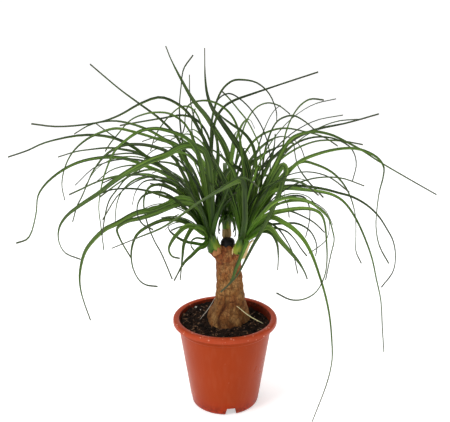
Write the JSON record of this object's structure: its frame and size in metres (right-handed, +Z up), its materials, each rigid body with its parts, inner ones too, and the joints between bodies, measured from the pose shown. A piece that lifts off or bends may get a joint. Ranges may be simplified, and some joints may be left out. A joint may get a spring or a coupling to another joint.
{
  "type": "potted ponytail palm",
  "caption": "Young ponytail palm with a swollen foot, a sealed cut trunk and arching strap leaves, standing in a terracotta-coloured plastic nursery pot.",
  "frame": {"origin": "middle of the pot's footprint, on the surface that the pot stands on", "axes": "+Z up, -Y towards the front of the plant, +X to the right seen from the front"},
  "size_m": [0.4744, 0.3725, 0.4056],
  "materials": {
    "pot_plastic": "semi-matte injection-moulded",
    "soil": "crumbly potting mix",
    "bark": "dry wrinkled bark",
    "wax": "satin wax",
    "leaf": "satin leaf",
    "dry_leaf": "dry"
  },
  "bodies": {
    "root": {"pot": "pot_plastic", "soil": "soil", "trunk": "bark", "wound_seal": "wax", "leaves_left": "leaf", "leaves_right": "leaf", "leaves_back": "leaf", "fallen_leaf_right": "dry_leaf", "fallen_leaf_left": "dry_leaf"}
  },
  "joints": []
}
